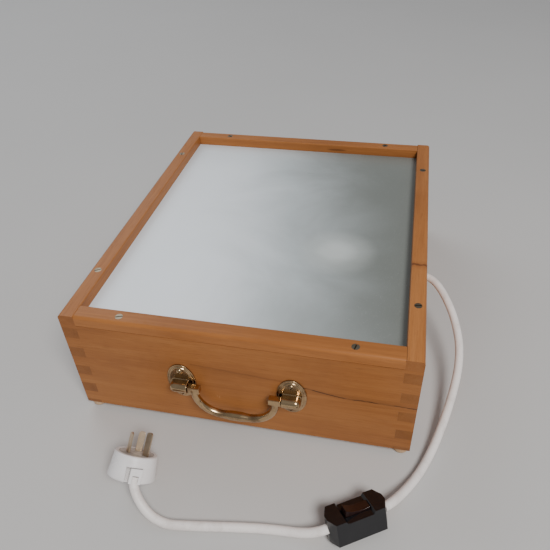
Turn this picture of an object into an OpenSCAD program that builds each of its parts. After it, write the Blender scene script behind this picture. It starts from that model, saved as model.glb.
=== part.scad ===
// Portable light box: a finger-jointed wooden box with an opal panel on top, a brass drop
// handle on the front, a lamp on the inside of the right wall, and a mains flex with an
// inline switch and a three-pin plug. Origin: on the ground, under the middle of the box
// and its handle. +X right, +Y to the back, +Z up. Millimetres.

/* [Box] */
// Width of the box, across the handle side
box_w = 320; // [300:5:360]
// Depth of the box, front to back
box_d = 380; // [360:5:420]
// Height of the four boards
wall_h = 107; // [105:1:110]
// Thickness of the four boards
wall_t = 15; // [14:1:16]
// Height of one finger of the corner joints
finger_h = 12.4; // [12:0.2:13]
// Height of the strip above the first finger
finger_top = 3.8; // [3:0.2:5]
// Thickness of the plywood base
base_t = 6; // [4:1:8]

/* [Frame and panel] */
// Width of the side rails of the frame
rail_w = 15; // [14:1:18]
// Width of the front and back rails of the frame
rail_end_w = 16; // [15:1:19]
// Thickness of the frame
rail_t = 11; // [9:1:13]
// Thickness of the opal panel
panel_t = 4; // [3:1:5]
// How far the panel is let into the boards
panel_ledge = 5; // [4:1:7]
// Distance of the screws in the front and back rails from the sides
end_screw_in = 56; // [45:1:70]
// Distance of the screws in the side rails from the ends
side_screw_in = 67; // [55:1:80]

/* [Feet] */
// Diameter of a foot
foot_d = 14.5; // [12:0.5:18]
// Height of a foot
foot_h = 8; // [6:1:12]
// Distance of a foot's centre from the outside of the box
foot_in = 8; // [8:0.5:12]

/* [Handle] */
// Distance between the centres of the two rosettes
rosette_span = 103; // [98:1:110]
// Width of a rosette
rosette_w = 27.5; // [26:0.5:32]
// Height of a rosette
rosette_h = 42.5; // [40:0.5:48]
// Height of the rosettes' centres above the bottom of the boards
rosette_z = 54; // [50:1:58]
// Distance of the handle's pivot from the front board
pivot_out = 7.5; // [7.5:0.5:9]
// Drop of the grip's middle below the pivot
grip_drop = 30.5; // [29:0.5:34]
// Thickness of the grip
grip_d = 9; // [8:0.5:10]

/* [Lamp] */
// Diameter of the lamp's globe
globe_d = 55; // [45:1:60]
// Height of the lamp's axis above the ground
lamp_z = 63; // [60:1:66]

/* [Flex, switch and plug] */
// Diameter of the flex
flex_d = 8; // [6:0.5:8]
// Length of the switch
switch_l = 52; // [50:1:56]
// Width of the switch
switch_w = 24; // [22:1:26]
// Height of one half of the switch
switch_half = 11; // [11:0.5:12]
// Diameter of the plug at its back
plug_back_d = 42; // [40:1:44]
// Diameter of the plug at its face
plug_face_d = 38; // [36:1:40]
// Depth of the plug's body
plug_depth = 22; // [20:1:26]

/* [Hidden] */
$fn = 48;

// Small allowances: eps makes a cut run past a face, gap is a clearance between pieces.
eps = 0.05;
gap = 0.5;

// The box stands with its front face at front_y, so that box and handle together are
// centred on the origin.
handle_out = pivot_out + grip_d / 2;
front_y = -(box_d - handle_out) / 2;
back_y = front_y + box_d;
mid_y = (front_y + back_y) / 2;
wall_top = foot_h + wall_h;
inner_x = box_w / 2 - wall_t;

wood = [0.66, 0.42, 0.24];
end_grain = [0.55, 0.33, 0.18];
ply = [0.80, 0.68, 0.50];
opal = [0.86, 0.89, 0.90];
brass = [0.66, 0.54, 0.32];
steel = [0.60, 0.60, 0.58];
black = [0.06, 0.06, 0.07];
brown = [0.20, 0.11, 0.07];
white = [0.92, 0.91, 0.88];
flex_white = [0.87, 0.82, 0.78];
rubber = [0.10, 0.10, 0.10];

// ---------------------------------------------------------------- screws

// Slotted countersunk wood screw, its head's top at z = 0 and its shank downwards.
module flat_screw(head_d, head_h, shank_d, length, turn) {
    slot_w = head_d * 0.14;
    slot_deep = head_h * 0.35;
    difference() {
        union() {
            translate([0, 0, -head_h])
                cylinder(h = head_h, d1 = shank_d, d2 = head_d);
            translate([0, 0, -length])
                cylinder(h = length - head_h, d = shank_d);
        }
        rotate([0, 0, turn])
            translate([-head_d, -slot_w / 2, -slot_deep])
                cube([2 * head_d, slot_w, slot_deep + eps]);
    }
}

// Its hole: a cone for the head and a clearance bore for the shank.
module flat_screw_hole(head_d, head_h, shank_d, length) {
    translate([0, 0, -head_h])
        cylinder(h = head_h, d1 = shank_d, d2 = head_d);
    translate([0, 0, -length])
        cylinder(h = length, d = shank_d);
    cylinder(h = 1, d = head_d);
}

// Slotted round-head wood screw along -Z, its head standing on z = 0.
module round_screw(head_d, head_h, shank_d, length, turn) {
    dome_r = (head_d * head_d / 4 + head_h * head_h) / (2 * head_h);
    slot_w = head_d * 0.15;
    difference() {
        union() {
            intersection() {
                translate([0, 0, head_h - dome_r])
                    sphere(r = dome_r);
                cylinder(h = head_h, d = head_d);
            }
            translate([0, 0, -length])
                cylinder(h = length + eps, d = shank_d);
        }
        rotate([0, 0, turn])
            translate([-head_d, -slot_w / 2, head_h * 0.55])
                cube([2 * head_d, slot_w, head_h]);
    }
}

// ---------------------------------------------------------------- box

frame_head_d = 7;
frame_head_h = 2.6;
frame_shank_d = 3.5;
frame_screw_l = 24;
frame_top = wall_top + rail_t;
screw_fit = 0.1;

// Each frame screw: place, and the turn of its slot.
end_x = box_w / 2 - end_screw_in;
side_x = box_w / 2 - rail_w / 2;
end_y = rail_end_w / 2;
frame_screw_places = [
    [[-end_x, front_y + end_y], 20],
    [[end_x, front_y + end_y], 75],
    [[-end_x, back_y - end_y], 140],
    [[end_x, back_y - end_y], 60],
    [[-side_x, front_y + side_screw_in], 35],
    [[-side_x, back_y - side_screw_in], 100],
    [[side_x, front_y + side_screw_in], 15],
    [[side_x, back_y - side_screw_in], 165]
];

module at_frame_screws() {
    for (place = frame_screw_places)
        translate([place[0][0], place[0][1], frame_top])
            children();
}

module frame_screw_bores() {
    at_frame_screws()
        flat_screw_hole(frame_head_d + screw_fit, frame_head_h, frame_shank_d + screw_fit,
                        frame_screw_l + gap);
}

foot_spigot_d = 6;
foot_spigot_l = 14;

// The corners of the box, as signs of X and Y.
corners = [[-1, -1], [1, -1], [-1, 1], [1, 1]];

function foot_place(c) = [
    c[0] * (box_w / 2 - foot_in),
    c[1] < 0 ? front_y + foot_in : back_y - foot_in,
    foot_h
];

module foot_bores() {
    for (c = corners)
        translate(foot_place(c) - [0, 0, eps])
            cylinder(h = foot_spigot_l + gap, d = foot_spigot_d + 2 * screw_fit);
}

base_ledge = 8;
base_fit = 1;
base_w = 2 * (inner_x + base_ledge) - base_fit;
base_d = box_d - 2 * (wall_t - base_ledge) - base_fit;

panel_w = 2 * (inner_x + panel_ledge) - 2 * gap;
panel_d = box_d - 2 * (wall_t - panel_ledge) - 2 * gap;

// A flat slab in the middle of the box, its underside at z.
module slab(w, d, t, z) {
    translate([-w / 2, mid_y - d / 2, z])
        cube([w, d, t]);
}

// The rebates for the panel and for the base, and the bores for feet and frame screws.
module shared_cuts() {
    slab(panel_w + 2 * gap, panel_d + 2 * gap, panel_t + 1, wall_top - panel_t);
    slab(base_w + base_fit, base_d + base_fit, base_t + 1, foot_h - 1);
    foot_bores();
    frame_screw_bores();
    at_base_screws()
        translate([0, 0, -base_screw_l - gap])
            cylinder(h = base_screw_l, d = base_screw_d + screw_fit);
}

// Fingers alternate down each corner. Those of the side boards start below the top strip.
finger_pairs = 5;

module fingers(first_top, end_y_low, end_y_high) {
    for (i = [0 : finger_pairs - 1]) {
        top = first_top - 2 * i * finger_h;
        low = max(foot_h, top - finger_h);
        for (side = [-1, 1])
            for (y = [end_y_low, end_y_high])
                translate([side * (box_w / 2 - wall_t / 2) - wall_t / 2 - eps, y - eps, low])
                    cube([wall_t + 2 * eps, wall_t + 2 * eps, top - low]);
    }
}

module side_fingers() {
    fingers(wall_top - finger_top, front_y, back_y - wall_t);
}

module end_fingers() {
    fingers(wall_top - finger_top - finger_h, front_y, back_y - wall_t);
    for (side = [-1, 1])
        for (y = [front_y, back_y - wall_t])
            translate([side * (box_w / 2 - wall_t / 2) - wall_t / 2 - eps, y - eps,
                       wall_top - finger_top])
                cube([wall_t + 2 * eps, wall_t + 2 * eps, finger_top + eps]);
}

module end_board(y) {
    difference() {
        translate([-box_w / 2, y, foot_h])
            cube([box_w, wall_t, wall_h]);
        side_fingers();
        shared_cuts();
    }
}

module side_board(side) {
    difference() {
        translate([side * (box_w / 2 - wall_t / 2) - wall_t / 2, front_y, foot_h])
            cube([wall_t, box_d, wall_h]);
        end_fingers();
        shared_cuts();
    }
}

module front_board() {
    color(wood)
        difference() {
            end_board(front_y);
            rosette_screw_bores();
        }
}

module back_board() {
    color(wood)
        end_board(back_y - wall_t);
}

module left_board() {
    color(end_grain)
        side_board(-1);
}

module right_board() {
    color(end_grain)
        difference() {
            side_board(1);
            translate([inner_x - 1, mid_y, lamp_z])
                rotate([0, 90, 0])
                    cylinder(h = wall_t + 2, d = grommet_d);
            holder_screw_bores();
        }
}

base_screw_head_d = 6;
base_screw_head_h = 2;
base_screw_d = 3;
base_screw_l = 16;
base_screw_in = 4;

// Two screws along each edge of the base, from below.
module at_base_screws() {
    edge_x = base_w / 2 - base_screw_in;
    edge_y = base_d / 2 - base_screw_in;
    for (side = [-1, 1])
        for (along = [-1, 1]) {
            translate([side * edge_x, mid_y + along * box_d / 4, foot_h])
                rotate([180, 0, 0])
                    children();
            translate([along * box_w / 4, mid_y + side * edge_y, foot_h])
                rotate([180, 0, 0])
                    children();
        }
}

module base_panel() {
    color(ply)
        difference() {
            slab(base_w, base_d, base_t, foot_h);
            foot_bores();
            at_base_screws()
                flat_screw_hole(base_screw_head_d + screw_fit, base_screw_head_h,
                                base_screw_d + screw_fit, base_t + 1);
        }
}

module base_screws() {
    color(steel)
        at_base_screws()
            flat_screw(base_screw_head_d, base_screw_head_h, base_screw_d, base_screw_l, 30);
}

// ---------------------------------------------------------------- frame

rail_round = 3;
rail_ease = 1;
arc_steps = 6;

function arc(cx, cy, r, from, to) = [
    for (i = [0 : arc_steps])
        let (a = from + (to - from) * i / arc_steps)
            [cx + r * cos(a), cy + r * sin(a)]
];

// A rail's section: outside edge at u = 0, rounded on its two top edges.
function rail_section(w) = concat(
    [[w, 0], [0.3, 0], [0, 0.5]],
    arc(rail_round, rail_t - rail_round, rail_round, 180, 90),
    arc(w - rail_ease, rail_t - rail_ease, rail_ease, 90, 0)
);

// A rail that runs along +Y from the origin, its outside facing -X.
module rail(w, length) {
    translate([0, length, 0])
        rotate([90, 0, 0])
            linear_extrude(height = length)
                polygon(rail_section(w));
}

module side_rail(side) {
    color(wood)
        difference() {
            translate([side * box_w / 2, front_y, wall_top])
                mirror([side > 0 ? 1 : 0, 0, 0])
                    rail(rail_w, box_d);
            frame_screw_bores();
        }
}

end_rail_l = box_w - 2 * rail_w;

module end_rail(back) {
    color(wood)
        difference() {
            translate([0, back > 0 ? back_y : front_y, wall_top])
                mirror([0, back > 0 ? 1 : 0, 0])
                    translate([end_rail_l / 2, 0, 0])
                        rotate([0, 0, 90])
                            rail(rail_end_w, end_rail_l);
            frame_screw_bores();
        }
}

module frame_front_rail() {
    end_rail(0);
}

module frame_back_rail() {
    end_rail(1);
}

module frame_left_rail() {
    side_rail(-1);
}

module frame_right_rail() {
    side_rail(1);
}

module frame_screws() {
    color(brass)
        for (place = frame_screw_places)
            translate([place[0][0], place[0][1], frame_top])
                flat_screw(frame_head_d, frame_head_h, frame_shank_d, frame_screw_l, place[1]);
}

module diffuser_panel() {
    color(opal)
        slab(panel_w, panel_d, panel_t, wall_top - panel_t);
}

// ---------------------------------------------------------------- feet

// A turned foot: a flat sole, a rounded side and a spigot that goes into the corner.
module foot(c) {
    sole_r = foot_d / 2 - 3;
    side_r = 3;
    color(wood)
        translate(foot_place(c) - [0, 0, foot_h])
            rotate_extrude()
                polygon(concat(
                    [[0, 0]],
                    arc(sole_r, side_r, side_r, -90, 0),
                    [[foot_d / 2 - 0.6, foot_h], [foot_spigot_d / 2, foot_h],
                     [foot_spigot_d / 2, foot_h + foot_spigot_l], [0, foot_h + foot_spigot_l]]
                ));
}

module foot_front_left() {
    foot(corners[0]);
}

module foot_front_right() {
    foot(corners[1]);
}

module foot_back_left() {
    foot(corners[2]);
}

module foot_back_right() {
    foot(corners[3]);
}

// ---------------------------------------------------------------- handle

pivot_z = foot_h + rosette_z - 1;
pivot_y = front_y - pivot_out;
knuckle_d = 10;
knuckle_in = 43.8;
knuckle_l = 17;
pin_d = 4.2;
pin_l = 10.5;
pin_fit = 0.1;
block_l = 11.3;
block_t = 6.6;
arm_d = 7.4;
arm_x = 37.6;
bend_r = 26;
rosette_screw_z = 14.5;
rosette_plate_t = 1.5;
rosette_step_t = 1;
rosette_screw_head_h = 2.2;
rosette_screw_d = 3;
rosette_screw_l = 12;
oval_steps = 48;

function oval(w, h) = [
    for (i = [0 : oval_steps - 1])
        [w / 2 * cos(360 * i / oval_steps), h / 2 * sin(360 * i / oval_steps)]
];

// Turns +Z of a child to -Y, out of the front board.
module off_front(x, z) {
    translate([x, front_y, z])
        rotate([90, 0, 0])
            children();
}

module at_rosette_screws() {
    for (side = [-1, 1])
        for (up = [-1, 1])
            off_front(side * rosette_span / 2, foot_h + rosette_z + up * rosette_screw_z)
                children();
}

module rosette_screw_bores() {
    at_rosette_screws()
        translate([0, 0, -rosette_screw_l - 1])
            cylinder(h = rosette_screw_l + 2, d = rosette_screw_d + 2 * screw_fit);
}

// A rosette: an oval stepped plate with a knuckle across it, bored for the handle's pin.
module rosette(side) {
    stem_l = knuckle_l - knuckle_d / 2;
    color(brass)
        difference() {
            union() {
                off_front(side * rosette_span / 2, foot_h + rosette_z) {
                    linear_extrude(height = rosette_plate_t)
                        polygon(oval(rosette_w, rosette_h));
                    linear_extrude(height = rosette_plate_t + rosette_step_t)
                        polygon(oval(rosette_w - 5, rosette_h - 5));
                }
                translate([0, 0, pivot_z])
                    mirror([side < 0 ? 1 : 0, 0, 0]) {
                        translate([knuckle_in, pivot_y, 0])
                            rotate([0, 90, 0])
                                cylinder(h = stem_l, d = knuckle_d);
                        translate([knuckle_in + stem_l, pivot_y, 0])
                            sphere(d = knuckle_d);
                        translate([knuckle_in, pivot_y, -knuckle_d / 2])
                            cube([stem_l, pivot_out, knuckle_d]);
                        translate([knuckle_in + stem_l, front_y, 0])
                            rotate([90, 0, 0])
                                cylinder(h = pivot_out, d = knuckle_d);
                    }
            }
            translate([side * (knuckle_in - 1), pivot_y, pivot_z])
                rotate([0, 90 * side, 0])
                    cylinder(h = pin_l + 2, d = pin_d + 2 * pin_fit);
            at_rosette_screws()
                cylinder(h = 2 * knuckle_d, d = rosette_screw_d + 4 * screw_fit, center = true);
        }
}

module rosette_left() {
    rosette(-1);
}

module rosette_right() {
    rosette(1);
}

module rosette_screws() {
    color(brass)
        at_rosette_screws()
            translate([0, 0, rosette_plate_t + rosette_step_t])
                round_screw(6, rosette_screw_head_h, rosette_screw_d, rosette_screw_l, 40);
}

// The bail: pins and square shoulders at the pivot, arms, two bends and a fuller grip.
module handle_bail() {
    arm_end = grip_drop - bend_r;
    half_flat = arm_x - bend_r;
    color(brass)
        translate([0, pivot_y, pivot_z]) {
            for (side = [-1, 1])
                mirror([side < 0 ? 1 : 0, 0, 0]) {
                    translate([knuckle_in - gap - block_l, -block_t / 2, -block_t / 2])
                        cube([block_l, block_t, block_t]);
                    translate([knuckle_in - gap - eps, 0, 0])
                        rotate([0, 90, 0])
                            cylinder(h = pin_l + eps, d = pin_d);
                    translate([arm_x, 0, -arm_end])
                        cylinder(h = arm_end, d = arm_d);
                    translate([half_flat, 0, -arm_end])
                        rotate([-90, 0, 0])
                            rotate_extrude(angle = 90)
                                translate([bend_r, 0])
                                    circle(d = arm_d);
                }
            translate([-half_flat, 0, -grip_drop])
                rotate([0, 90, 0])
                    rotate_extrude()
                        polygon([
                            [0, 0], [arm_d / 2, 0], [grip_d / 2, half_flat * 0.6],
                            [grip_d / 2, half_flat * 1.4], [arm_d / 2, 2 * half_flat],
                            [0, 2 * half_flat]
                        ]);
        }
}

// ---------------------------------------------------------------- lamp and its holder

grommet_d = 12;
grommet_flange_d = 17;
grommet_flange_t = 1.5;
grommet_nose_l = 4.5;
grommet_nose_d = 13;
grommet_out = grommet_flange_t + grommet_nose_l;
tail_in = 2;
wire_d = 2.2;
wire_ring_r = 2.3;
holder_base_d = 58;
holder_base_t = 8;
holder_boss_d = 36;
holder_boss_t = 6;
holder_screw_y = 22;
holder_screw_l = 14;
socket_start = holder_base_t + holder_boss_t;
insulator_d = 22.8;
insulator_t = 10;
plunger_y = 4.6;
plunger_d = 4;
shell_d = 27;
shell_bore = 23.4;
shell_l = 32;
cap_start = 28;
cap_l = 22;
cap_d = 22;
neck_r = 9.8;
glass_t = 1;
shoulder = 35;

// Turns a child's +Z to -X, from the inside of the right board on the lamp's axis.
module on_lamp_axis() {
    translate([inner_x, mid_y, lamp_z])
        rotate([0, -90, 0])
            children();
}

module at_holder_screws() {
    on_lamp_axis()
        for (side = [-1, 1])
            translate([0, side * holder_screw_y, holder_base_t])
                children();
}

module holder_screw_bores() {
    at_holder_screws()
        flat_screw_hole(6 + screw_fit, 2, base_screw_d + 2 * screw_fit, holder_screw_l + gap);
}

module flex_grommet() {
    color(rubber)
        translate([inner_x, mid_y, lamp_z])
            rotate([0, 90, 0])
                difference() {
                    union() {
                        cylinder(h = wall_t, d = grommet_d - screw_fit);
                        translate([0, 0, wall_t])
                            cylinder(h = grommet_flange_t, d = grommet_flange_d);
                        translate([0, 0, wall_t + grommet_flange_t])
                            cylinder(h = grommet_nose_l, d1 = grommet_nose_d, d2 = flex_d + 2);
                    }
                    translate([0, 0, -1])
                        cylinder(h = wall_t + grommet_out + 2, d = flex_d + 2 * screw_fit);
                }
}

// The stretch of flex that the wall and the grommet's flange hold, up to the holder.
module flex_tail() {
    color(flex_white)
        on_lamp_axis()
            translate([0, 0, -wall_t - grommet_flange_t])
                cylinder(h = wall_t + grommet_flange_t + tail_in, d = flex_d);
}

module lamp_wires() {
    wire_colors = ["firebrick", "black", "green"];
    on_lamp_axis()
        for (i = [0 : 2])
            color(wire_colors[i])
                rotate([0, 0, 120 * i])
                    translate([wire_ring_r, 0, tail_in])
                        cylinder(h = socket_start - tail_in, d = wire_d);
}

module holder_base() {
    color(brown)
        difference() {
            on_lamp_axis()
                difference() {
                    union() {
                        cylinder(h = holder_base_t, d = holder_base_d);
                        translate([0, 0, holder_base_t])
                            cylinder(h = holder_boss_t, d = holder_boss_d);
                    }
                    translate([0, 0, -1])
                        cylinder(h = holder_base_t - 1, d = holder_boss_d - 4);
                    translate([0, 0, -1])
                        cylinder(h = socket_start + 2, d = grommet_d);
                }
            holder_screw_bores();
        }
}

module holder_screws() {
    color(steel)
        at_holder_screws()
            flat_screw(6, 2, base_screw_d, holder_screw_l, 50);
}

module holder_insulator() {
    color(white)
        on_lamp_axis()
            difference() {
                translate([0, 0, socket_start])
                    cylinder(h = insulator_t, d = insulator_d);
                for (side = [-1, 1])
                    translate([0, side * plunger_y, socket_start + 2])
                        cylinder(h = insulator_t, d = plunger_d + 2 * screw_fit);
            }
}

module holder_plungers() {
    color(brass)
        on_lamp_axis()
            for (side = [-1, 1])
                translate([0, side * plunger_y, socket_start + 2])
                    cylinder(h = cap_start - socket_start - 2, d = plunger_d);
}

// The socket: a tube with two slots that take the pins of the lamp's cap.
module holder_shell() {
    slot_w = 2.8;
    slot_l = 13;
    color(brass)
        on_lamp_axis()
            translate([0, 0, socket_start])
                difference() {
                    cylinder(h = shell_l, d = shell_d);
                    translate([0, 0, -1])
                        cylinder(h = shell_l + 2, d = shell_bore);
                    translate([-slot_w / 2, -shell_d, shell_l - slot_l])
                        cube([slot_w, 2 * shell_d, slot_l + 1]);
                }
}

module holder_ring() {
    color(brown)
        on_lamp_axis()
            translate([0, 0, socket_start])
                difference() {
                    cylinder(h = 9, d1 = holder_boss_d, d2 = holder_boss_d - 2);
                    translate([0, 0, -1])
                        cylinder(h = 11, d = shell_d + 2 * screw_fit);
                }
}

module lamp_cap() {
    pin_z = 8;
    pin_out = 13;
    color(brass)
        on_lamp_axis()
            translate([0, 0, cap_start])
                difference() {
                    union() {
                        cylinder(h = cap_l, d = cap_d);
                        translate([0, 0, pin_z])
                            rotate([90, 0, 0])
                                cylinder(h = 2 * pin_out, d = 2, center = true);
                    }
                    translate([0, 0, 5])
                        cylinder(h = cap_l, r = neck_r + 0.3);
                }
}

// Half outline of the globe: neck, cone and round end, drawn inwards by inset.
function globe_outline(inset) = let (
    r = globe_d / 2 - inset,
    neck = neck_r - inset,
    cone_r = r * cos(shoulder),
    cone_h = (cone_r - neck) / tan(shoulder),
    centre = cap_l + cone_h + r * sin(shoulder)
) concat(
    [[0, cap_l - 8], [neck, cap_l - 8], [neck, cap_l]],
    [
        for (i = [0 : 3 * arc_steps])
            let (a = -shoulder + (90 + shoulder) * i / (3 * arc_steps))
                [r * cos(a), centre + r * sin(a)]
    ]
);

module lamp_glass() {
    color([0.95, 0.95, 0.93, 0.8])
        on_lamp_axis()
            translate([0, 0, cap_start])
                rotate_extrude()
                    difference() {
                        polygon(globe_outline(0));
                        translate([0, -eps])
                            polygon(globe_outline(glass_t));
                    }
}

// The stem inside the globe, with two supports and the filament between them.
module lamp_stem() {
    stem_l = 26;
    support_l = 20;
    spread = 7;
    lean = atan(spread / support_l);
    color(steel)
        on_lamp_axis()
            translate([0, 0, cap_start + cap_l - 12]) {
                cylinder(h = stem_l, d1 = 9, d2 = 5);
                for (side = [-1, 1])
                    translate([0, side, stem_l - 1])
                        rotate([-side * lean, 0, 0])
                            cylinder(h = support_l, d = 0.9);
                translate([0, 0, stem_l + support_l * cos(lean) - 1.5])
                    rotate([90, 0, 0])
                        cylinder(h = 2 * spread + 2, d = 1.2, center = true);
            }
}

// ---------------------------------------------------------------- flex

// The route of each stretch of flex, through the middle of it, by hand.
box_to_switch = [
    [162.5, 5.5, 63], [168, 3.5, 63], [173.5, -1, 62.7], [178.5, -7.5, 61.9],
    [183.5, -16, 60], [189, -26.5, 56.5], [194.5, -39, 51.5], [199, -53, 45.5],
    [202, -68, 39.2], [202.6, -84, 32.8], [201, -101, 26.6], [197.5, -119, 20.8],
    [193, -137, 15.6], [187.6, -155.5, 11], [181.8, -173, 7.5], [175.6, -189, 5.4],
    [169.2, -203, 4.9], [162.8, -215, 6.1], [156.5, -225.8, 8.6], [150.8, -234.8, 11.4],
    [145.6, -241.8, 13.6], [140.4, -246.9, 14.5]
];
switch_to_plug = [
    [98, -273.6, 14.5], [91, -276.3, 12.2], [82, -277.7, 9], [71, -277.9, 6.3],
    [58, -278, 4.8], [43, -279.1, 4.2], [27, -281.3, 4.1], [10, -284, 4.1],
    [-7, -286.8, 4.1], [-18.5, -288.6, 4.1], [-29, -290.1, 4.1], [-35.3, -290.5, 4.4],
    [-41.6, -290.1, 5.3], [-47.7, -288.9, 7], [-53.3, -286.9, 9.3], [-58.2, -284.3, 12.2],
    [-62.4, -281.3, 15.8], [-65.9, -278, 19.9], [-68.4, -274.7, 23.6], [-69.6, -271.5, 27],
    [-69.2, -267.9, 30.4]
];

flex_sides = 12;

function unit(v) = v / norm(v);

// The direction of route p at its point i.
function heading(p, i) = unit(p[min(i + 1, len(p) - 1)] - p[max(i - 1, 0)]);

// A ring of points round route p at its point i.
function flex_ring(p, i) = let (
    ahead = heading(p, i),
    side = unit(cross(ahead, [0, 0, 1])),
    lift = cross(side, ahead)
) [
    for (k = [0 : flex_sides - 1])
        let (a = 360 * k / flex_sides)
            p[i] + flex_d / 2 * (cos(a) * side + sin(a) * lift)
];

module flex(p) {
    last = len(p) - 1;
    n = flex_sides;
    color(flex_white)
        polyhedron(
            points = [for (i = [0 : last]) each flex_ring(p, i)],
            faces = concat(
                [[for (k = [0 : n - 1]) k]],
                [
                    for (i = [0 : last - 1])
                        for (k = [0 : n - 1])
                            let (m = (k + 1) % n)
                                [i * n + k, (i + 1) * n + k, (i + 1) * n + m, i * n + m]
                ],
                [[for (k = [n - 1 : -1 : 0]) last * n + k]]
            )
        );
}

module flex_box_to_switch() {
    flex(box_to_switch);
}

module flex_switch_to_plug() {
    flex(switch_to_plug);
}

// ---------------------------------------------------------------- inline switch

switch_at = [118.9, -260.4, 14.65];
switch_turn = 32.4;
switch_lean = -20;
switch_nose = 4.5;
switch_wall = 2.2;
hood_l = 13;
recess_deep = 2.5;
slot_l = 23.6;
slot_w = 9.8;
rocker_l = 22.4;
rocker_w = 9;
rocker_tilt = 9;
rocker_z = 5;
switch_pin_d = 2;
post_x = 17;
post_y = 5.5;
post_d = 5.5;

module on_switch() {
    translate(switch_at)
        rotate([0, 0, switch_turn])
            rotate([switch_lean, 0, 0])
                children();
}

module switch_bores() {
    rotate([0, 90, 0])
        cylinder(h = switch_l + 2, d = flex_d + 0.6, center = true);
    for (side = [-1, 1])
        translate([side * post_x, side * post_y, -switch_half])
            rotate([180, 0, 0])
                flat_screw_hole(5, 1.8, 2.6, 2 * switch_half - switch_wall);
}

// A block of the switch's outline, its ends drawn out to blunt noses.
module switch_block(l, z0, z1) {
    flat_w = switch_w / 4;
    side_l = l - 2 * switch_nose;
    translate([0, 0, z0])
        linear_extrude(height = z1 - z0)
            polygon([
                [-side_l / 2, -switch_w / 2], [side_l / 2, -switch_w / 2],
                [l / 2, -flat_w / 2], [l / 2, flat_w / 2],
                [side_l / 2, switch_w / 2], [-side_l / 2, switch_w / 2],
                [-l / 2, flat_w / 2], [-l / 2, -flat_w / 2]
            ]);
}

module switch_cavity(z0, z1) {
    cavity_l = switch_l - 2 * (switch_nose + switch_wall);
    difference() {
        translate([-cavity_l / 2, -switch_w / 2 + switch_wall, z0])
            cube([cavity_l, switch_w - 2 * switch_wall, z1 - z0]);
        for (side = [-1, 1])
            translate([side * post_x, side * post_y, z0 - 1])
                cylinder(h = z1 - z0 + 2, d = post_d);
    }
}

module switch_base() {
    color(black)
        on_switch()
            difference() {
                switch_block(switch_l, -switch_half, 0);
                switch_cavity(-switch_half + switch_wall, 1);
                switch_bores();
            }
}

// The upper half: raised ends, and a slot between them for the rocker.
module switch_cover() {
    deck = switch_half - recess_deep;
    recess_l = switch_l - 2 * hood_l;
    step = 2;
    color(black)
        on_switch()
            difference() {
                switch_block(switch_l, 0, switch_half);
                translate([0, switch_w, 0])
                    rotate([90, 0, 0])
                        linear_extrude(height = 2 * switch_w)
                            polygon([
                                [-recess_l / 2 + step, deck], [recess_l / 2 - step, deck],
                                [recess_l / 2, switch_half + eps],
                                [-recess_l / 2, switch_half + eps]
                            ]);
                switch_cavity(-1, deck - switch_wall);
                translate([-slot_l / 2, -slot_w / 2, 0])
                    cube([slot_l, slot_w, switch_half]);
                translate([0, 0, rocker_z])
                    rotate([90, 0, 0])
                        cylinder(h = switch_w - switch_wall, d = switch_pin_d + screw_fit,
                                 center = true);
                switch_bores();
            }
}

// A rocker with a dished top, tilted to its off side, on the pin through its hub.
module switch_rocker() {
    color(brown)
        on_switch()
            translate([0, 0, rocker_z])
                rotate([0, rocker_tilt, 0])
                    difference() {
                        translate([0, rocker_w / 2, 0])
                            rotate([90, 0, 0])
                                linear_extrude(height = rocker_w)
                                    union() {
                                        circle(d = 6);
                                        polygon([
                                            [-rocker_l / 2, 2], [rocker_l / 2, 2],
                                            [rocker_l / 2 - 0.6, 7.2], [rocker_l / 4, 5.6],
                                            [0, 5], [-rocker_l / 4, 5.6],
                                            [-rocker_l / 2 + 0.6, 7.2]
                                        ]);
                                    }
                        rotate([90, 0, 0])
                            cylinder(h = 2 * rocker_w, d = switch_pin_d + 2 * screw_fit,
                                     center = true);
                    }
}

module switch_pin() {
    color(steel)
        on_switch()
            translate([0, 0, rocker_z])
                rotate([90, 0, 0])
                    cylinder(h = switch_w - switch_wall - gap, d = switch_pin_d, center = true);
}

// Two fixed contacts on the floor of the lower half.
module switch_contacts() {
    color(brass)
        on_switch()
            for (side = [-1, 1])
                translate([side * 9 - 4, -3, -switch_half + switch_wall])
                    difference() {
                        cube([8, 6, 5]);
                        translate([4 - side * 1.5, 3, -1])
                            cylinder(h = 7, d = 2.5);
                    }
}

module switch_screws() {
    color(steel)
        on_switch()
            for (side = [-1, 1])
                translate([side * post_x, side * post_y, -switch_half])
                    rotate([180, 0, 0])
                        flat_screw(4.8, 1.8, 2.4, 2 * switch_half - switch_wall - 1, 25);
}

// ---------------------------------------------------------------- plug

// The plug leans back on the lower edge of its round back. Locally +Z is the pins'
// direction, +X is towards the earth pin, and the back is at z = 0.
plug_lift = 43;
plug_turn = -7;
plug_roll = -14;
plug_at = [-79, -261.5, plug_back_d / 2 * cos(plug_lift)];
entry_turn = -40;
entry_r = 17.8;
notch_in = 15.4;
notch_w = 14;
notch_l = 13.4;
notch_side = -1.8;
boot_w = 10;
boot_l = 12.8;
boot_out = 21.2;
face_disc_d = 31;
face_disc_t = 4;
blade_w = 5.9;
blade_t = 1.5;
blade_in = 8;
blade_tip = 2.2;
live_r = 7.92;
earth_r = 10.3;
live_l = 17;
earth_l = 20;

module on_plug() {
    translate(plug_at)
        rotate([0, 0, plug_turn])
            rotate([plug_lift - 90, 0, 0])
                rotate([0, 0, plug_roll])
                    children();
}

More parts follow.
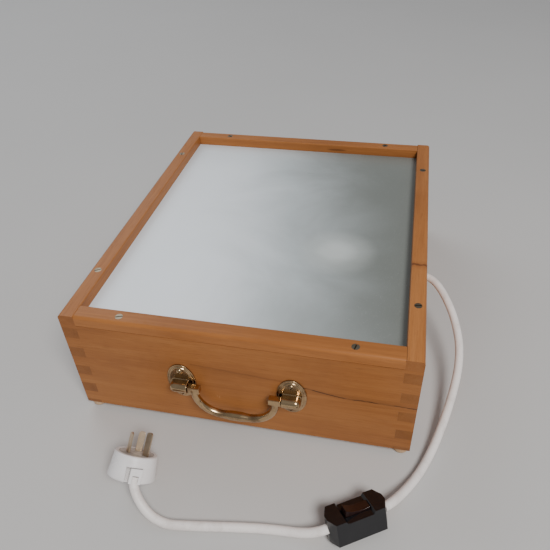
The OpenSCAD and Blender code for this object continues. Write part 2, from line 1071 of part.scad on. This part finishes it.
module plug_body() {
    edge = 2;
    color(white)
        on_plug()
            difference() {
                union() {
                    difference() {
                        rotate_extrude()
                            polygon(concat(
                                [[0, 0]],
                                arc(plug_back_d / 2 - edge, edge, edge, -90, 0),
                                [[plug_face_d / 2, plug_depth - 0.8],
                                 [plug_face_d / 2 - 0.8, plug_depth], [0, plug_depth]]
                            ));
                        rotate([0, 0, entry_turn])
                            translate([notch_in, notch_side - notch_w / 2, -1])
                                cube([plug_back_d, notch_w, notch_l + 1]);
                    }
                    rotate([0, 0, entry_turn])
                        translate([notch_in - 1, -boot_w / 2, 0.3])
                            cube([boot_out - notch_in + 1, boot_w, boot_l]);
                }
                translate([0, 0, plug_depth - face_disc_t])
                    cylinder(h = face_disc_t + 1, d = face_disc_d);
                translate([0, 0, 5])
                    cylinder(h = plug_depth, d = face_disc_d - 3.6);
                rotate([0, 0, entry_turn])
                    translate([entry_r, 0, -1])
                        cylinder(h = 8, d = flex_d + 0.6);
                translate([0, 0, -1])
                    cylinder(h = 8, d = 3.4);
                translate([0, 0, -1])
                    cylinder(h = 3, d = 6.4);
            }
}

// A blade's outline: its tip's two corners are rounded.
function blade_outline(l) = concat(
    [[-blade_w / 2, 0], [blade_w / 2, 0]],
    arc(blade_w / 2 - blade_tip, l - blade_tip, blade_tip, 0, 90),
    arc(-blade_w / 2 + blade_tip, l - blade_tip, blade_tip, 90, 180)
);

// A blade standing on the middle of its inner end, wide along X and then turned.
module blade(r, turn, wide_turn, length) {
    rotate([0, 0, turn])
        translate([r, 0, plug_depth - blade_in])
            rotate([0, 0, wide_turn])
                rotate([90, 0, 0])
                    translate([0, 0, -blade_t / 2])
                        linear_extrude(height = blade_t)
                            polygon(blade_outline(blade_in + length));
}

module active_blade() {
    blade(live_r, 120, 90, live_l);
}

module neutral_blade() {
    blade(live_r, -120, 90, live_l);
}

module earth_blade() {
    blade(earth_r, 0, 0, earth_l);
}

module plug_face() {
    color(white)
        on_plug()
            difference() {
                translate([0, 0, plug_depth - face_disc_t])
                    cylinder(h = face_disc_t - 0.4, d = face_disc_d - 2 * screw_fit);
                active_blade();
                neutral_blade();
                earth_blade();
                cylinder(h = plug_depth - face_disc_t / 2, d = 2.6);
            }
}

module plug_pin_active() {
    color(brass)
        on_plug()
            active_blade();
}

module plug_pin_neutral() {
    color(brass)
        on_plug()
            neutral_blade();
}

module plug_pin_earth() {
    color(brass)
        on_plug()
            earth_blade();
}

module plug_screw() {
    color(steel)
        on_plug()
            translate([0, 0, 1.8])
                rotate([180, 0, 0])
                    round_screw(6, 1.6, 2.5, plug_depth - face_disc_t / 2 - 2, 70);
}

front_board();
back_board();
left_board();
right_board();
base_panel();
base_screws();
frame_front_rail();
frame_back_rail();
frame_left_rail();
frame_right_rail();
frame_screws();
diffuser_panel();
foot_front_left();
foot_front_right();
foot_back_left();
foot_back_right();
rosette_left();
rosette_right();
rosette_screws();
handle_bail();
flex_grommet();
flex_tail();
lamp_wires();
holder_base();
holder_screws();
holder_insulator();
holder_plungers();
holder_shell();
holder_ring();
lamp_cap();
lamp_glass();
lamp_stem();
flex_box_to_switch();
flex_switch_to_plug();
switch_base();
switch_cover();
switch_rocker();
switch_pin();
switch_contacts();
switch_screws();
plug_body();
plug_face();
plug_pin_active();
plug_pin_neutral();
plug_pin_earth();
plug_screw();
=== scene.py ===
"""The looks of the light box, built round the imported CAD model.

Metres, with +X right, +Y back and +Z up.
"""

import math

import bmesh
import bpy
from mathutils import Matrix, Vector


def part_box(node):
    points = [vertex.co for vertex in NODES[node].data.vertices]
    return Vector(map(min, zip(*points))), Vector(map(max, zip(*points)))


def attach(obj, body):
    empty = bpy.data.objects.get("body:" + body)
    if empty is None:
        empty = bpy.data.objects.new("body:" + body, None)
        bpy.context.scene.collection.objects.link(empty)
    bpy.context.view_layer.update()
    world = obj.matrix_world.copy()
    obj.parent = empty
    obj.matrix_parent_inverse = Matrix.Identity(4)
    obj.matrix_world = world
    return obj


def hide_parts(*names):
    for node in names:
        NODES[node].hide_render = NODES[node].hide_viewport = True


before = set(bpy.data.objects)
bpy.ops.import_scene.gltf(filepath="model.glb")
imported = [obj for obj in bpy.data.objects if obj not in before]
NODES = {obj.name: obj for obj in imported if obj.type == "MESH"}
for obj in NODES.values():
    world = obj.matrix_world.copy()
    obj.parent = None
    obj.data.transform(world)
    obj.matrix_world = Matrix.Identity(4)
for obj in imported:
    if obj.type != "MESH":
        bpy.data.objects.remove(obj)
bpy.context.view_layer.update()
MM = 0.001

# ---------------------------------------------------------------- camera and cords

CAMERA_PLACE = (0.12077, -0.50667, 0.46679)
CAMERA_RIGHT = (0.97690, 0.21057, -0.03636)
CAMERA_UP = (-0.10465, 0.61983, 0.77773)
CAMERA_BACK = (0.18630, -0.75596, 0.62755)
CAMERA_LENS = 37.58

# The two stretches of flex, in millimetres, by given points.
BOX_TO_SWITCH = [
    (162.5, 5.5, 63), (168, 3.5, 63), (173.5, -1, 62.7), (178.5, -7.5, 61.9),
    (183.5, -16, 60), (189, -26.5, 56.5), (194.5, -39, 51.5), (199, -53, 45.5),
    (202, -68, 39.2), (202.6, -84, 32.8), (201, -101, 26.6), (197.5, -119, 20.8),
    (193, -137, 15.6), (187.6, -155.5, 11), (181.8, -173, 7.5), (175.6, -189, 5.4),
    (169.2, -203, 4.9), (162.8, -215, 6.1), (156.5, -225.8, 8.6), (150.8, -234.8, 11.4),
    (145.6, -241.8, 13.6), (140.4, -246.9, 14.5),
]
SWITCH_TO_PLUG = [
    (98, -273.6, 14.5), (91, -276.3, 12.2), (82, -277.7, 9), (71, -277.9, 6.3),
    (58, -278, 4.8), (43, -279.1, 4.2), (27, -281.3, 4.1), (10, -284, 4.1),
    (-7, -286.8, 4.1), (-18.5, -288.6, 4.1), (-29, -290.1, 4.1), (-35.3, -290.5, 4.4),
    (-41.6, -290.1, 5.3), (-47.7, -288.9, 7), (-53.3, -286.9, 9.3), (-58.2, -284.3, 12.2),
    (-62.4, -281.3, 15.8), (-65.9, -278, 19.9), (-68.4, -274.7, 23.6), (-69.6, -271.5, 27),
    (-69.2, -267.9, 30.4),
]
FLEX_D = 8 * MM
FLEX_SIDES = 28
ROUTE_STEPS = 6
SHARP_EDGE = 40


def add_camera():
    data = bpy.data.cameras.new("camera")
    data.lens = CAMERA_LENS
    data.clip_start = 0.01
    camera = bpy.data.objects.new("camera", data)
    axes = (CAMERA_RIGHT, CAMERA_UP, CAMERA_BACK)
    turn = Matrix(axes).transposed().to_4x4()
    camera.matrix_world = Matrix.Translation(CAMERA_PLACE) @ turn
    bpy.context.scene.collection.objects.link(camera)
    bpy.context.scene.camera = camera


def put(name, data):
    """A new object that holds this mesh, in the scene."""
    made = bpy.data.objects.new(name, data)
    bpy.context.scene.collection.objects.link(made)
    return made


def smooth_route(route):
    """An even curve through the route's points, in metres (Catmull-Rom)."""
    points = [Vector(p) * MM for p in route]
    ends = [2 * points[0] - points[1]] + points + [2 * points[-1] - points[-2]]
    line = []
    for a, b, c, d in zip(ends, ends[1:], ends[2:], ends[3:]):
        for i in range(ROUTE_STEPS):
            t = i / ROUTE_STEPS
            line.append(0.5 * (2 * b + (c - a) * t + (2 * a - 5 * b + 4 * c - d) * t ** 2
                               + (3 * b - a - 3 * c + d) * t ** 3))
    return line + [points[-1]]


def tube(name, line):
    """A flex: a round skin along a line of points, closed at both ends."""
    build = bmesh.new()
    rings = []
    side = Vector((0, 0, 1))
    angles = [2 * math.pi * k / FLEX_SIDES for k in range(FLEX_SIDES)]
    for i, place in enumerate(line):
        along = (line[min(i + 1, len(line) - 1)] - line[max(i - 1, 0)]).normalized()
        side = (side - along * side.dot(along)).normalized()
        other = along.cross(side)
        ring = [side * math.cos(a) + other * math.sin(a) for a in angles]
        rings.append([build.verts.new(place + FLEX_D / 2 * out) for out in ring])
    for one, two in zip(rings, rings[1:]):
        for k in range(FLEX_SIDES):
            build.faces.new((one[k], one[k - 1], two[k - 1], two[k]))
    build.faces.new(rings[0])
    build.faces.new(rings[-1][::-1])
    return finish_mesh(name, build)


def finish_mesh(name, build):
    """Makes an object of the built mesh, smooth but for its sharp edges."""
    bmesh.ops.recalc_face_normals(build, faces=build.faces)
    for face in build.faces:
        face.smooth = True
    for edge in build.edges:
        if len(edge.link_faces) == 2 and edge.calc_face_angle(0) > math.radians(SHARP_EDGE):
            edge.smooth = False
    mesh = bpy.data.meshes.new(name)
    build.to_mesh(mesh)
    build.free()
    return put(name, mesh)


def flex(name, route, node):
    """The flex that stands for a CAD node and runs along the route to the pieces at its ends."""
    made = tube(name, smooth_route(route))
    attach(made, "box")
    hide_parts(node)
    return made


add_camera()
CORDS = [
    flex("flex_right", BOX_TO_SWITCH, "flex_box_to_switch"),
    flex("flex_left", SWITCH_TO_PLUG, "flex_switch_to_plug"),
]

# ---------------------------------------------------------------- materials


class Look:
    """A material being made: adds nodes and joins them to its Principled shader."""

    def __init__(self, name, **shader):
        self.material = bpy.data.materials.new(name)
        self.material.use_nodes = True
        self.tree = self.material.node_tree
        self.shader = self.tree.nodes["Principled BSDF"]
        for socket, value in shader.items():
            self.shader.inputs[socket.replace("_", " ")].default_value = value

    def set(self, socket, value):
        """Links the socket, or gives it a value; a colour may leave out its alpha."""
        if isinstance(value, bpy.types.NodeSocket):
            self.tree.links.new(value, socket)
        elif socket.type == "RGBA" and len(value) == 3:
            socket.default_value = (*value, 1)
        else:
            socket.default_value = value

    def add(self, kind, inputs, **settings):
        made = self.tree.nodes.new(kind)
        for key, value in settings.items():
            setattr(made, key, value)
        for key, value in inputs.items():
            self.set(made.inputs[key], value)
        return made

    def place(self):
        """Places in the part's frame, in metres."""
        return self.add("ShaderNodeTexCoord", {}).outputs["Object"]

    def stretched(self, scale, turn):
        """Places scaled along each axis and turned about the vertical."""
        inputs = {"Vector": self.place(), "Scale": scale, "Rotation": (0, 0, turn)}
        return self.add("ShaderNodeMapping", inputs).outputs[0]

    def xyz(self, vector):
        return self.add("ShaderNodeSeparateXYZ", {0: vector}).outputs

    def noise(self, vector, scale, detail=4, rough=0.55, warp=0):
        inputs = {"Vector": vector, "Scale": scale, "Detail": detail, "Roughness": rough}
        made = self.add("ShaderNodeTexNoise", {**inputs, "Distortion": warp})
        return made.outputs["Fac"]

    def waver(self, vector, scale, detail, width):
        """Noise about zero, up to half the width either way."""
        noise = self.noise(vector, scale, detail, 0.6)
        return self.math("MULTIPLY", self.math("SUBTRACT", noise, 0.5), width)

    def corners(self, reach, low, high, most, samples=6):
        """most where the openness within reach is low, in tight corners, and 0 where it's high."""
        made = self.add("ShaderNodeAmbientOcclusion", {"Distance": reach}, samples=samples)
        return self.span(made.outputs["AO"], low, high, most, 0.0)

    def oval(self, a, b, middle, size):
        """0 at the middle of an oval in the a, b plane, 1 on its rim and more outside."""
        parts = []
        for value, centre, half in zip((a, b), middle, size):
            way = self.math("DIVIDE", self.math("SUBTRACT", value, centre), half)
            parts.append(self.math("POWER", way, 2))
        return self.math("ADD", *parts)

    def math(self, operation, a, b=0.0, c=0.0):
        return self.add("ShaderNodeMath", {0: a, 1: b, 2: c}, operation=operation).outputs[0]

    def span(self, value, low, high, to_low=0.0, to_high=1.0):
        """value's way from low to high, as a smooth step from to_low to to_high."""
        inputs = {"Value": value, "From Min": low, "From Max": high}
        inputs.update({"To Min": to_low, "To Max": to_high})
        made = self.add("ShaderNodeMapRange", inputs, interpolation_type="SMOOTHSTEP")
        return made.outputs[0]

    def ramp(self, value, stops):
        made = self.add("ShaderNodeValToRGB", {"Fac": value})
        bar = made.color_ramp.elements
        while len(bar) < len(stops):
            bar.new(1.0)
        for element, (at, colour) in zip(bar, stops):
            element.position = at
            element.color = (*colour, 1)
        return made.outputs[0]

    def mix(self, amount, a, b):
        """Colour a with this amount of colour b in it."""
        made = self.add("ShaderNodeMix", {}, data_type="RGBA")
        self.set(made.inputs["Factor"], amount)
        self.set(made.inputs[6], a)
        self.set(made.inputs[7], b)
        return made.outputs[2]

    def bump(self, height, strength, distance):
        inputs = {"Height": height, "Strength": strength, "Distance": distance}
        self.use("Normal", self.add("ShaderNodeBump", inputs).outputs[0])

    def use(self, socket, value):
        self.set(self.shader.inputs[socket], value)


def shade(colour, amount):
    return [amount * c for c in colour]


def line_across(look, x, z, points, width):
    """1 along a wavering line through (x, z) points, in metres, and 0 away from it."""
    total = None
    for (x0, z0), (x1, z1) in zip(points, points[1:]):
        along = look.math("SUBTRACT", x, x0)
        height = look.math("MULTIPLY_ADD", along, (z1 - z0) / (x1 - x0), z0)
        off = look.math("ABSOLUTE", look.math("SUBTRACT", z, height))
        on = look.span(off, width * 0.25, width, 1.0, 0.0)
        past_start = look.math("GREATER_THAN", x, x0)
        inside = look.math("MULTIPLY", past_start, look.math("LESS_THAN", x, x1))
        part = look.math("MULTIPLY", on, inside)
        total = part if total is None else look.math("MAXIMUM", total, part)
    return total


def wood(name, grain, tones, seed, gloss=0.42, end_dark=0.42, extra=None):
    """Varnished wood whose grain runs along the axis grain and shows dark on end faces.

    The seed picks its figure, tones go from dark to pale, and extra adds the piece's own marks.
    """
    look = Look(name, Specular_IOR_Level=0.3, Coat_Weight=0.06, Coat_Roughness=0.2, IOR=1.45)
    source = look.place()
    shift = (seed, seed * 0.7, seed * 1.3)
    shifted = look.add("ShaderNodeVectorMath", {0: source, 1: shift}).outputs[0]
    dark, _, pale = tones

    def grained(along, across, warp, detail, rough=0.6):
        scale = [along if i == grain else across for i in range(3)]
        inputs = {0: shifted, 1: scale}
        pulled = look.add("ShaderNodeVectorMath", inputs, operation="MULTIPLY").outputs[0]
        return look.noise(pulled, 1.0, detail, rough, warp)

    broad = grained(1.6, 18, 0.9, 5)
    rings = grained(3.0, 75, 1.2, 6, 0.65)
    fibre = grained(40, 900, 0, 3)
    pores = look.span(grained(70, 2100, 0, 2, 0.5), 0.60, 0.70)
    figure = look.math("MULTIPLY_ADD", rings, 0.45, look.math("MULTIPLY", broad, 0.55))
    colour = look.ramp(figure, list(zip((0.32, 0.5, 0.68), tones)))
    colour = look.mix(look.span(fibre, 0.35, 0.7, 0.0, 0.30), colour, dark)
    colour = look.mix(look.math("MULTIPLY", pores, 0.28), colour, shade(dark, 0.45))
    blotch = look.span(look.noise(shifted, 11, 4, 0.6), 0.50, 0.80, 0.0, 0.35)
    colour = look.mix(blotch, colour, shade(dark, 0.72))
    faded = look.span(look.noise(shifted, 6, 2, 0.5), 0.50, 0.75, 0.0, 0.35)
    colour = look.mix(faded, colour, pale)
    normal = look.add("ShaderNodeNewGeometry", {}).outputs["Normal"]
    facing = look.math("ABSOLUTE", look.xyz(normal)[grain])
    speckle = look.span(look.noise(source, 700, 3, 0.6), 0.3, 0.7, 0.75, 1.15)
    end = look.mix(look.math("MULTIPLY", speckle, 0.5), shade(dark, 0.50), shade(dark, 0.8))
    colour = look.mix(look.span(facing, 0.6, 0.9, 0.0, end_dark), colour, end)
    # Painted shade: the wood is darkened in its corners and tight gaps.
    corner_shade = look.corners(4 * MM, 0.25, 0.75, 0.55, samples=4)
    colour = look.mix(corner_shade, colour, shade(dark, 0.16))
    if extra:
        colour = extra(look, colour)
    look.use("Base Color", colour)
    rough = look.math("MULTIPLY_ADD", broad, 0.22, gloss - 0.08)
    look.use("Roughness", look.math("MULTIPLY_ADD", pores, 0.15, rough))
    height = look.math("MULTIPLY_ADD", pores, -1.0, look.math("MULTIPLY", fibre, 0.6))
    look.bump(height, 0.3, 0.1 * MM)
    return look.material


# The split that runs out to the right on the front board, and a fainter one on from it: x, z.
SPLIT = [(0.045, 0.0790), (0.070, 0.0735), (0.095, 0.0690), (0.128, 0.0684), (0.160, 0.0682)]
SHAKE = [(-0.041, 0.0850), (-0.004, 0.0826), (0.045, 0.0790)]

# Where the knots are: y on the right rail; x and z, and half its size, on the back rail.
RIGHT_KNOT_Y = -0.058
BACK_KNOT_AT = (0.043, 0.1195)
BACK_KNOT_SIZE = (0.013, 0.0016)


def front_marks(look, colour):
    """The front board's split, a fainter shake and the dark streaks that follow them."""
    source = look.place()
    x, _, z = look.xyz(source)
    z = look.math("ADD", z, look.waver(source, 120, 3, 2.2 * MM))
    broken = look.span(look.noise(source, 55, 3, 0.6), 0.38, 0.52, 0.35, 1.0)
    shake = look.math("MULTIPLY", line_across(look, x, z, SHAKE, 1.6 * MM), 0.35)
    streak = look.math("MULTIPLY", line_across(look, x, z, SPLIT, 3.5 * MM), 0.25)
    split = look.math("MULTIPLY", line_across(look, x, z, SPLIT, 0.8 * MM), broken)
    colour = look.mix(shake, colour, (0.16, 0.05, 0.014))
    colour = look.mix(streak, colour, (0.22, 0.08, 0.025))
    return look.mix(look.math("MULTIPLY", split, 0.95), colour, (0.05, 0.018, 0.007))


def right_knot(look, colour):
    """A dark knot that runs across the right rail."""
    source = look.place()
    bend = look.waver(source, 160, 4, 6 * MM)
    along = look.math("SUBTRACT", look.xyz(source)[1], RIGHT_KNOT_Y)
    off = look.math("ABSOLUTE", look.math("ADD", along, bend))
    colour = look.mix(look.span(off, 1 * MM, 9 * MM, 0.35, 0.0), colour, (0.22, 0.07, 0.02))
    return look.mix(look.span(off, 0.4 * MM, 2.2 * MM, 0.75, 0.0), colour, (0.10, 0.03, 0.01))


def back_knot(look, colour):
    """A small eye in the back rail, with the grain drawn dark along it."""
    x, _, z = look.xyz(look.place())
    eye = look.span(look.oval(x, z, BACK_KNOT_AT, BACK_KNOT_SIZE), 0.3, 1.3, 0.7, 0.0)
    return look.mix(eye, colour, (0.12, 0.04, 0.012))


# Tones of wood, from dark to pale, and the axes that its grain can follow.
ALONG_X, ALONG_Y, ALONG_Z = range(3)
BOARD = [(0.245, 0.085, 0.021), (0.370, 0.138, 0.036), (0.460, 0.190, 0.058)]
RAIL = [(0.275, 0.094, 0.023), (0.415, 0.156, 0.042), (0.505, 0.210, 0.068)]
FOOT = [(0.42, 0.25, 0.13), (0.60, 0.40, 0.24), (0.72, 0.53, 0.35)]
PLY = [(0.40, 0.27, 0.14), (0.55, 0.40, 0.24), (0.66, 0.51, 0.33)]


def brass(name, clean, patina, rough, amount, fine_amount=0.35):
    """Polished brass that has darkened in patches and corners."""
    look = Look(name, Metallic=1.0)
    place = look.place()
    cloud = look.noise(place, 70, 4, 0.55, 0.3)
    fine = look.noise(place, 900, 3, 0.6)
    dark = look.span(cloud, 0.40, 0.72, 0.0, amount)
    corner = look.corners(4 * MM, 0.35, 0.95, 0.9)
    colour = look.mix(look.math("MAXIMUM", dark, corner), clean, patina)
    specks = look.span(fine, 0.6, 0.8, 0.0, fine_amount)
    look.use("Base Color", look.mix(specks, colour, shade(patina, 0.4)))
    rough = look.math("MULTIPLY_ADD", fine, 0.08, rough)
    look.use("Roughness", look.math("MULTIPLY_ADD", dark, 0.2, rough))
    look.bump(look.math("MULTIPLY_ADD", fine, 0.4, cloud), 0.06, 0.1 * MM)
    return look.material


def plastic(name, colour, dirt_and_shade, rough, dirt_amount, coat=0.0, specks=0.0, corners=0.0):
    """Moulded plastic with handling marks, dirty patches, painted shade in its corners, and a
    faint texture.
    """
    look = Look(name, Coat_Weight=coat, Coat_Roughness=0.08, IOR=1.48)
    place = look.place()
    cloud = look.noise(place, 70, 5, 0.6, 0.6)
    fine = look.noise(place, 600, 4, 0.6)
    tone = look.mix(look.span(cloud, 0.45, 0.75, 0.0, dirt_amount), colour, dirt_and_shade)
    if specks:
        speck = look.span(look.noise(place, 1500, 2, 0.5), 0.66, 0.72, 0.0, specks)
        tone = look.mix(speck, tone, dirt_and_shade)
    # Painted shade: the plastic is darkened in its corners and tight gaps.
    if corners:
        corner = look.corners(3.5 * MM, 0.3, 0.95, corners)
        tone = look.mix(corner, tone, shade(dirt_and_shade, 0.6))
    look.use("Base Color", tone)
    look.use("Roughness", look.math("MULTIPLY_ADD", cloud, 0.2, rough - 0.1))
    look.bump(look.math("MULTIPLY_ADD", fine, 0.5, cloud), 0.12, 0.1 * MM)
    return look.material


# Painted light: the bulb showing through the panel as a pale patch.
# The lamp's pale patch in the panel, seen where the photograph's view shows it: its shift from
# over the lamp and half its size, in x and y.
PATCH_SHIFT = (2 * MM, -42 * MM)
PATCH_SIZE = (30 * MM, 28 * MM)


def opal(name):
    """Opal sheet: painted reflection pale at the left, dark at the right; dust, scratches, painted
    bulb patch.
    """
    look = Look(name, IOR=1.45)
    place = look.place()
    x, y, _ = look.xyz(place)
    cloud = look.noise(place, 7, 4, 0.6, 0.6)
    smear = look.noise(look.stretched((9, 30, 9), 0.6), 1.0, 4, 0.6, 0.8)
    dust = look.span(look.noise(place, 1300, 2, 0.5), 0.68, 0.74, 0.0, 0.3)
    scratch = look.noise(look.stretched((1800, 14, 1), 0.9), 1.0, 2, 0.5)
    scratch = look.span(scratch, 0.70, 0.74)

    # Painted reflection: pale and bluish at the left, dark at the right, paler along the back and
    # the left edge.
    drift = look.math("MULTIPLY_ADD", cloud, 0.10, -0.05)
    way = look.math("ADD", look.math("MULTIPLY_ADD", y, 0.12, x), drift)
    tone = look.ramp(look.span(way, -0.10, 0.135), [
        (0.0, (0.90, 0.95, 1.00)), (0.45, (0.56, 0.61, 0.63)), (1.0, (0.19, 0.205, 0.19)),
    ])
    back = look.span(y, 0.10, 0.185, 0.0, 0.30)
    back = look.math("MULTIPLY", back, look.span(x, -0.12, 0.05, 1.0, 0.2))
    tone = look.mix(back, tone, (0.48, 0.55, 0.56))
    tone = look.mix(look.span(x, -0.150, -0.120, 0.4, 0.0), tone, (0.62, 0.68, 0.72))

    # Painted light: a pale patch where the bulb shows through the sheet.
    low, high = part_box("lamp_glass")
    middle = [(low[i] + high[i]) / 2 + PATCH_SHIFT[i] for i in range(2)]
    reach = look.math("MULTIPLY_ADD", cloud, 0.6, look.oval(x, y, middle, PATCH_SIZE))
    near = look.span(reach, 0.3, 2.6, 1.0, 0.0)
    core = look.span(reach, 0.2, 1.0, 1.0, 0.0)
    tone = look.mix(look.math("MULTIPLY", near, 0.38), tone, (0.66, 0.70, 0.68))
    tone = look.mix(look.math("MULTIPLY", core, 0.42), tone, (0.74, 0.78, 0.77))
    look.use("Base Color", look.mix(dust, tone, (0.85, 0.86, 0.84)))

    rough = look.math("MULTIPLY_ADD", dust, 0.4, look.math("MULTIPLY_ADD", smear, 0.20, 0.22))
    look.use("Roughness", look.math("MULTIPLY_ADD", scratch, 0.12, rough))
    height = look.math("MULTIPLY_ADD", scratch, -0.4, look.math("MULTIPLY", smear, 0.3))
    look.bump(height, 0.08, 0.05 * MM)
    return look.material


def floor_look():
    look = Look("studio_floor")
    shade = look.noise(look.place(), 3, 3, 0.5)
    look.use("Base Color", look.mix(shade, (0.58, 0.57, 0.56), (0.62, 0.61, 0.60)))
    look.use("Roughness", 0.6)
    return look.material


BRASS = brass("aged_brass", (0.55, 0.385, 0.215), (0.15, 0.095, 0.058),
              rough=0.14, amount=0.7, fine_amount=0.12)
SCREW_BRASS = brass("screw_brass", (0.30, 0.25, 0.18), (0.06, 0.045, 0.03), rough=0.30, amount=0.9)
PIN_BRASS = brass("pin_brass", (0.66, 0.52, 0.37), (0.26, 0.18, 0.11), rough=0.30, amount=0.6)
STEEL = brass("dull_steel", (0.42, 0.42, 0.42), (0.10, 0.09, 0.08), rough=0.34, amount=0.6)
WHITE = plastic("plug_white", (0.93, 0.90, 0.90), (0.40, 0.36, 0.32), rough=0.30,
                dirt_amount=0.16, coat=0.2, specks=0.15, corners=0.8)
WHITE_FACE = plastic("plug_face_white", (0.62, 0.59, 0.56), (0.16, 0.13, 0.11), rough=0.4,
                     dirt_amount=0.75, specks=0.9, corners=0.8)
FLEX = plastic("flex_pvc", (0.97, 0.91, 0.88), (0.42, 0.32, 0.27), rough=0.40,
               dirt_amount=0.28, specks=0.35, corners=0.4)
BLACK = plastic("switch_black", (0.006, 0.006, 0.008), (0.018, 0.017, 0.019), rough=0.22,
                dirt_amount=0.4, coat=0.05, specks=0.3)
BROWN = plastic("rocker_brown", (0.020, 0.008, 0.007), (0.05, 0.03, 0.025), rough=0.22,
                dirt_amount=0.3, coat=0.15)
BAKELITE = plastic("bakelite", (0.05, 0.022, 0.012), (0.12, 0.07, 0.04), rough=0.25,
                   dirt_amount=0.5, coat=0.4)
CERAMIC = plastic("ceramic", (0.80, 0.78, 0.73), (0.5, 0.45, 0.38), rough=0.2,
                  dirt_amount=0.25, coat=0.5)
RUBBER = plastic("grommet_rubber", (0.02, 0.02, 0.02), (0.08, 0.075, 0.07), rough=0.6,
                 dirt_amount=0.6)
RED = plastic("wire_insulation", (0.30, 0.03, 0.02), (0.12, 0.03, 0.02), rough=0.4,
              dirt_amount=0.4)
GLASS = plastic("pearl_glass", (0.86, 0.86, 0.84), (0.7, 0.68, 0.62), rough=0.25,
                dirt_amount=0.2, coat=0.3)
OPAL = opal("opal_sheet")

LOOKS = {
    "front_board": wood("wood_front", ALONG_X, BOARD, seed=0.31, extra=front_marks),
    "back_board": wood("wood_back", ALONG_X, BOARD, seed=1.7),
    "left_board": wood("wood_left", ALONG_Y, BOARD, seed=2.9),
    "right_board": wood("wood_right", ALONG_Y, BOARD, seed=4.3),
    "base_panel": wood("plywood", ALONG_Y, PLY, seed=5.1, gloss=0.6, end_dark=0.2),
    "frame_front_rail": wood("rail_front", ALONG_X, RAIL, seed=6.2),
    "frame_back_rail": wood("rail_back", ALONG_X, RAIL, seed=7.7, extra=back_knot),
    "frame_left_rail": wood("rail_left", ALONG_Y, RAIL, seed=8.4),
    "frame_right_rail": wood("rail_right", ALONG_Y, RAIL, seed=9.6, extra=right_knot),
    "diffuser_panel": OPAL,
    "frame_screws": SCREW_BRASS, "base_screws": STEEL, "holder_screws": STEEL,
    "rosette_left": BRASS, "rosette_right": BRASS, "rosette_screws": BRASS, "handle_bail": BRASS,
    "flex_grommet": RUBBER, "flex_tail": FLEX, "lamp_wires": RED,
    "holder_base": BAKELITE, "holder_insulator": CERAMIC, "holder_plungers": BRASS,
    "holder_shell": BRASS, "holder_ring": BAKELITE, "lamp_cap": BRASS, "lamp_glass": GLASS,
    "lamp_stem": STEEL,
    "switch_base": BLACK, "switch_cover": BLACK, "switch_rocker": BROWN, "switch_pin": STEEL,
    "switch_contacts": BRASS, "switch_screws": STEEL,
    "plug_body": WHITE, "plug_face": WHITE_FACE, "plug_pin_active": PIN_BRASS,
    "plug_pin_neutral": PIN_BRASS, "plug_pin_earth": PIN_BRASS, "plug_screw": STEEL,
}
FOOT_LOOK = wood("foot_wood", ALONG_Z, FOOT, seed=3.3, gloss=0.45, end_dark=0.2)
for name in NODES:
    if name.startswith("foot_"):
        LOOKS[name] = FOOT_LOOK


def dress(made, material):
    made.data.materials.clear()
    made.data.materials.append(material)


def soften(made, width, segments=3, angle=35):
    """Joins the mesh's loose faces and rounds its edges that are sharper than the angle."""
    weld = made.modifiers.new("weld", "WELD")
    weld.merge_threshold = 0.01 * MM
    bevel = made.modifiers.new("bevel", "BEVEL")
    bevel.width = width
    bevel.segments = segments
    bevel.limit_method = "ANGLE"
    bevel.angle_limit = math.radians(angle)
    made.modifiers.new("normals", "WEIGHTED_NORMAL")


def cast(made):
    """Turns the mesh into one even skin and lets its corners run soft, as in a casting."""
    remesh = made.modifiers.new("skin", "REMESH")
    remesh.mode = "VOXEL"
    remesh.voxel_size = 0.4 * MM
    remesh.use_smooth_shade = True
    smooth = made.modifiers.new("soft", "SMOOTH")
    smooth.iterations = 5


for name, made in NODES.items():
    if name in LOOKS:
        dress(made, LOOKS[name])
for made in CORDS:
    dress(made, FLEX)

for name in ("front_board", "back_board", "left_board", "right_board"):
    soften(NODES[name], 0.45 * MM, 2)
for name in ("frame_front_rail", "frame_back_rail", "frame_left_rail", "frame_right_rail"):
    soften(NODES[name], 0.5 * MM, 2, 50)
for name in ("switch_base", "switch_cover"):
    soften(NODES[name], 0.5 * MM)
soften(NODES["switch_rocker"], 0.4 * MM)
soften(NODES["plug_body"], 0.4 * MM)
for name in ("plug_pin_active", "plug_pin_neutral", "plug_pin_earth"):
    soften(NODES[name], 0.35 * MM)
for name in ("rosette_left", "rosette_right", "handle_bail"):
    cast(NODES[name])

# ---------------------------------------------------------------- floor and light


FLOOR_HALF = 12


def add_floor():
    mesh = bpy.data.meshes.new("floor")
    far = FLOOR_HALF
    corners = [(-far, -far, 0), (far, -far, 0), (far, far, 0), (-far, far, 0)]
    mesh.from_pydata(corners, [], [(0, 1, 2, 3)])
    mesh.materials.append(floor_look())
    put("floor", mesh)


def add_light(name, place, target, size, power, tint):
    data = bpy.data.lights.new(name, "AREA")
    data.shape = "DISK"
    data.size = size
    data.energy = power
    data.color = tint
    light = bpy.data.objects.new(name, data)
    light.location = place
    aim = Vector(target) - Vector(place)
    light.rotation_euler = aim.to_track_quat("-Z", "Y").to_euler()
    bpy.context.scene.collection.objects.link(light)


def add_world(colour, strength):
    world = bpy.data.worlds.new("studio")
    world.use_nodes = True
    back = world.node_tree.nodes["Background"]
    back.inputs[0].default_value = (*colour, 1)
    back.inputs[1].default_value = strength
    bpy.context.scene.world = world


add_floor()
add_light("key", (1.0, -1.5, 2.0), (0, -0.05, 0.1), size=0.9, power=54, tint=(1.0, 0.98, 0.95))
add_light("back", (-1.5, 1.5, 1.7), (0, 0, 0.1), size=1.9, power=17, tint=(0.94, 0.97, 1.0))
add_world((0.84, 0.86, 0.90), 0.32)
